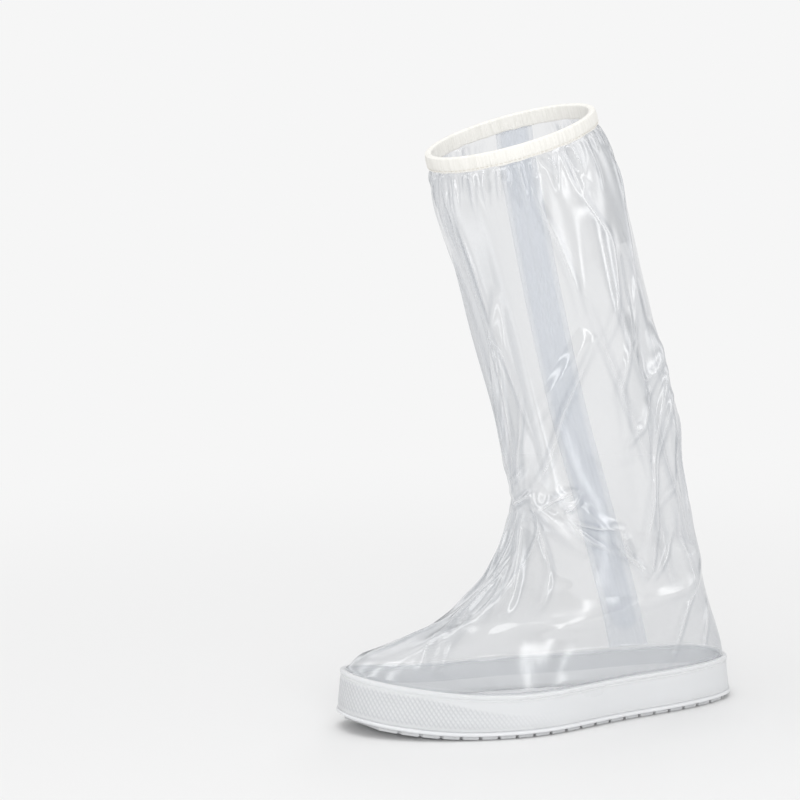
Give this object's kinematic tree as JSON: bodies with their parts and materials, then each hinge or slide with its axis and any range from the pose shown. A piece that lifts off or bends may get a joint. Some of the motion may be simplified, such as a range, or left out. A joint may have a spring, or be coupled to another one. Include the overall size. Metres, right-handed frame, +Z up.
{
  "type": "shoe cover",
  "caption": "Knee-high clear film overshoe with a gathered elastic top, side placket, moulded wall and treaded sole.",
  "frame": {"origin": "on the floor, under the middle of the cover's bounding box", "axes": "+Z up along the shaft, -Y towards the toe, +X towards the outer side of the left foot"},
  "size_m": [0.135, 0.3146, 0.4634],
  "materials": {
    "outsole": "frosted translucent white moulded PVC, satin",
    "sidewall": "frosted translucent white PVC, semi-gloss, knurled around the toe",
    "clear_film": "clear glossy PVC film with soft folds",
    "elastic_binding": "woven elastic tape, cream white, matte",
    "placket": "milky bluish-white PVC, semi-gloss, with rows of small welds"
  },
  "bodies": {
    "root": {"outsole": "outsole", "sidewall": "sidewall", "upper_film": "clear_film", "top_binding": "elastic_binding", "placket_strip": "placket", "placket_flap": "placket"}
  },
  "joints": []
}
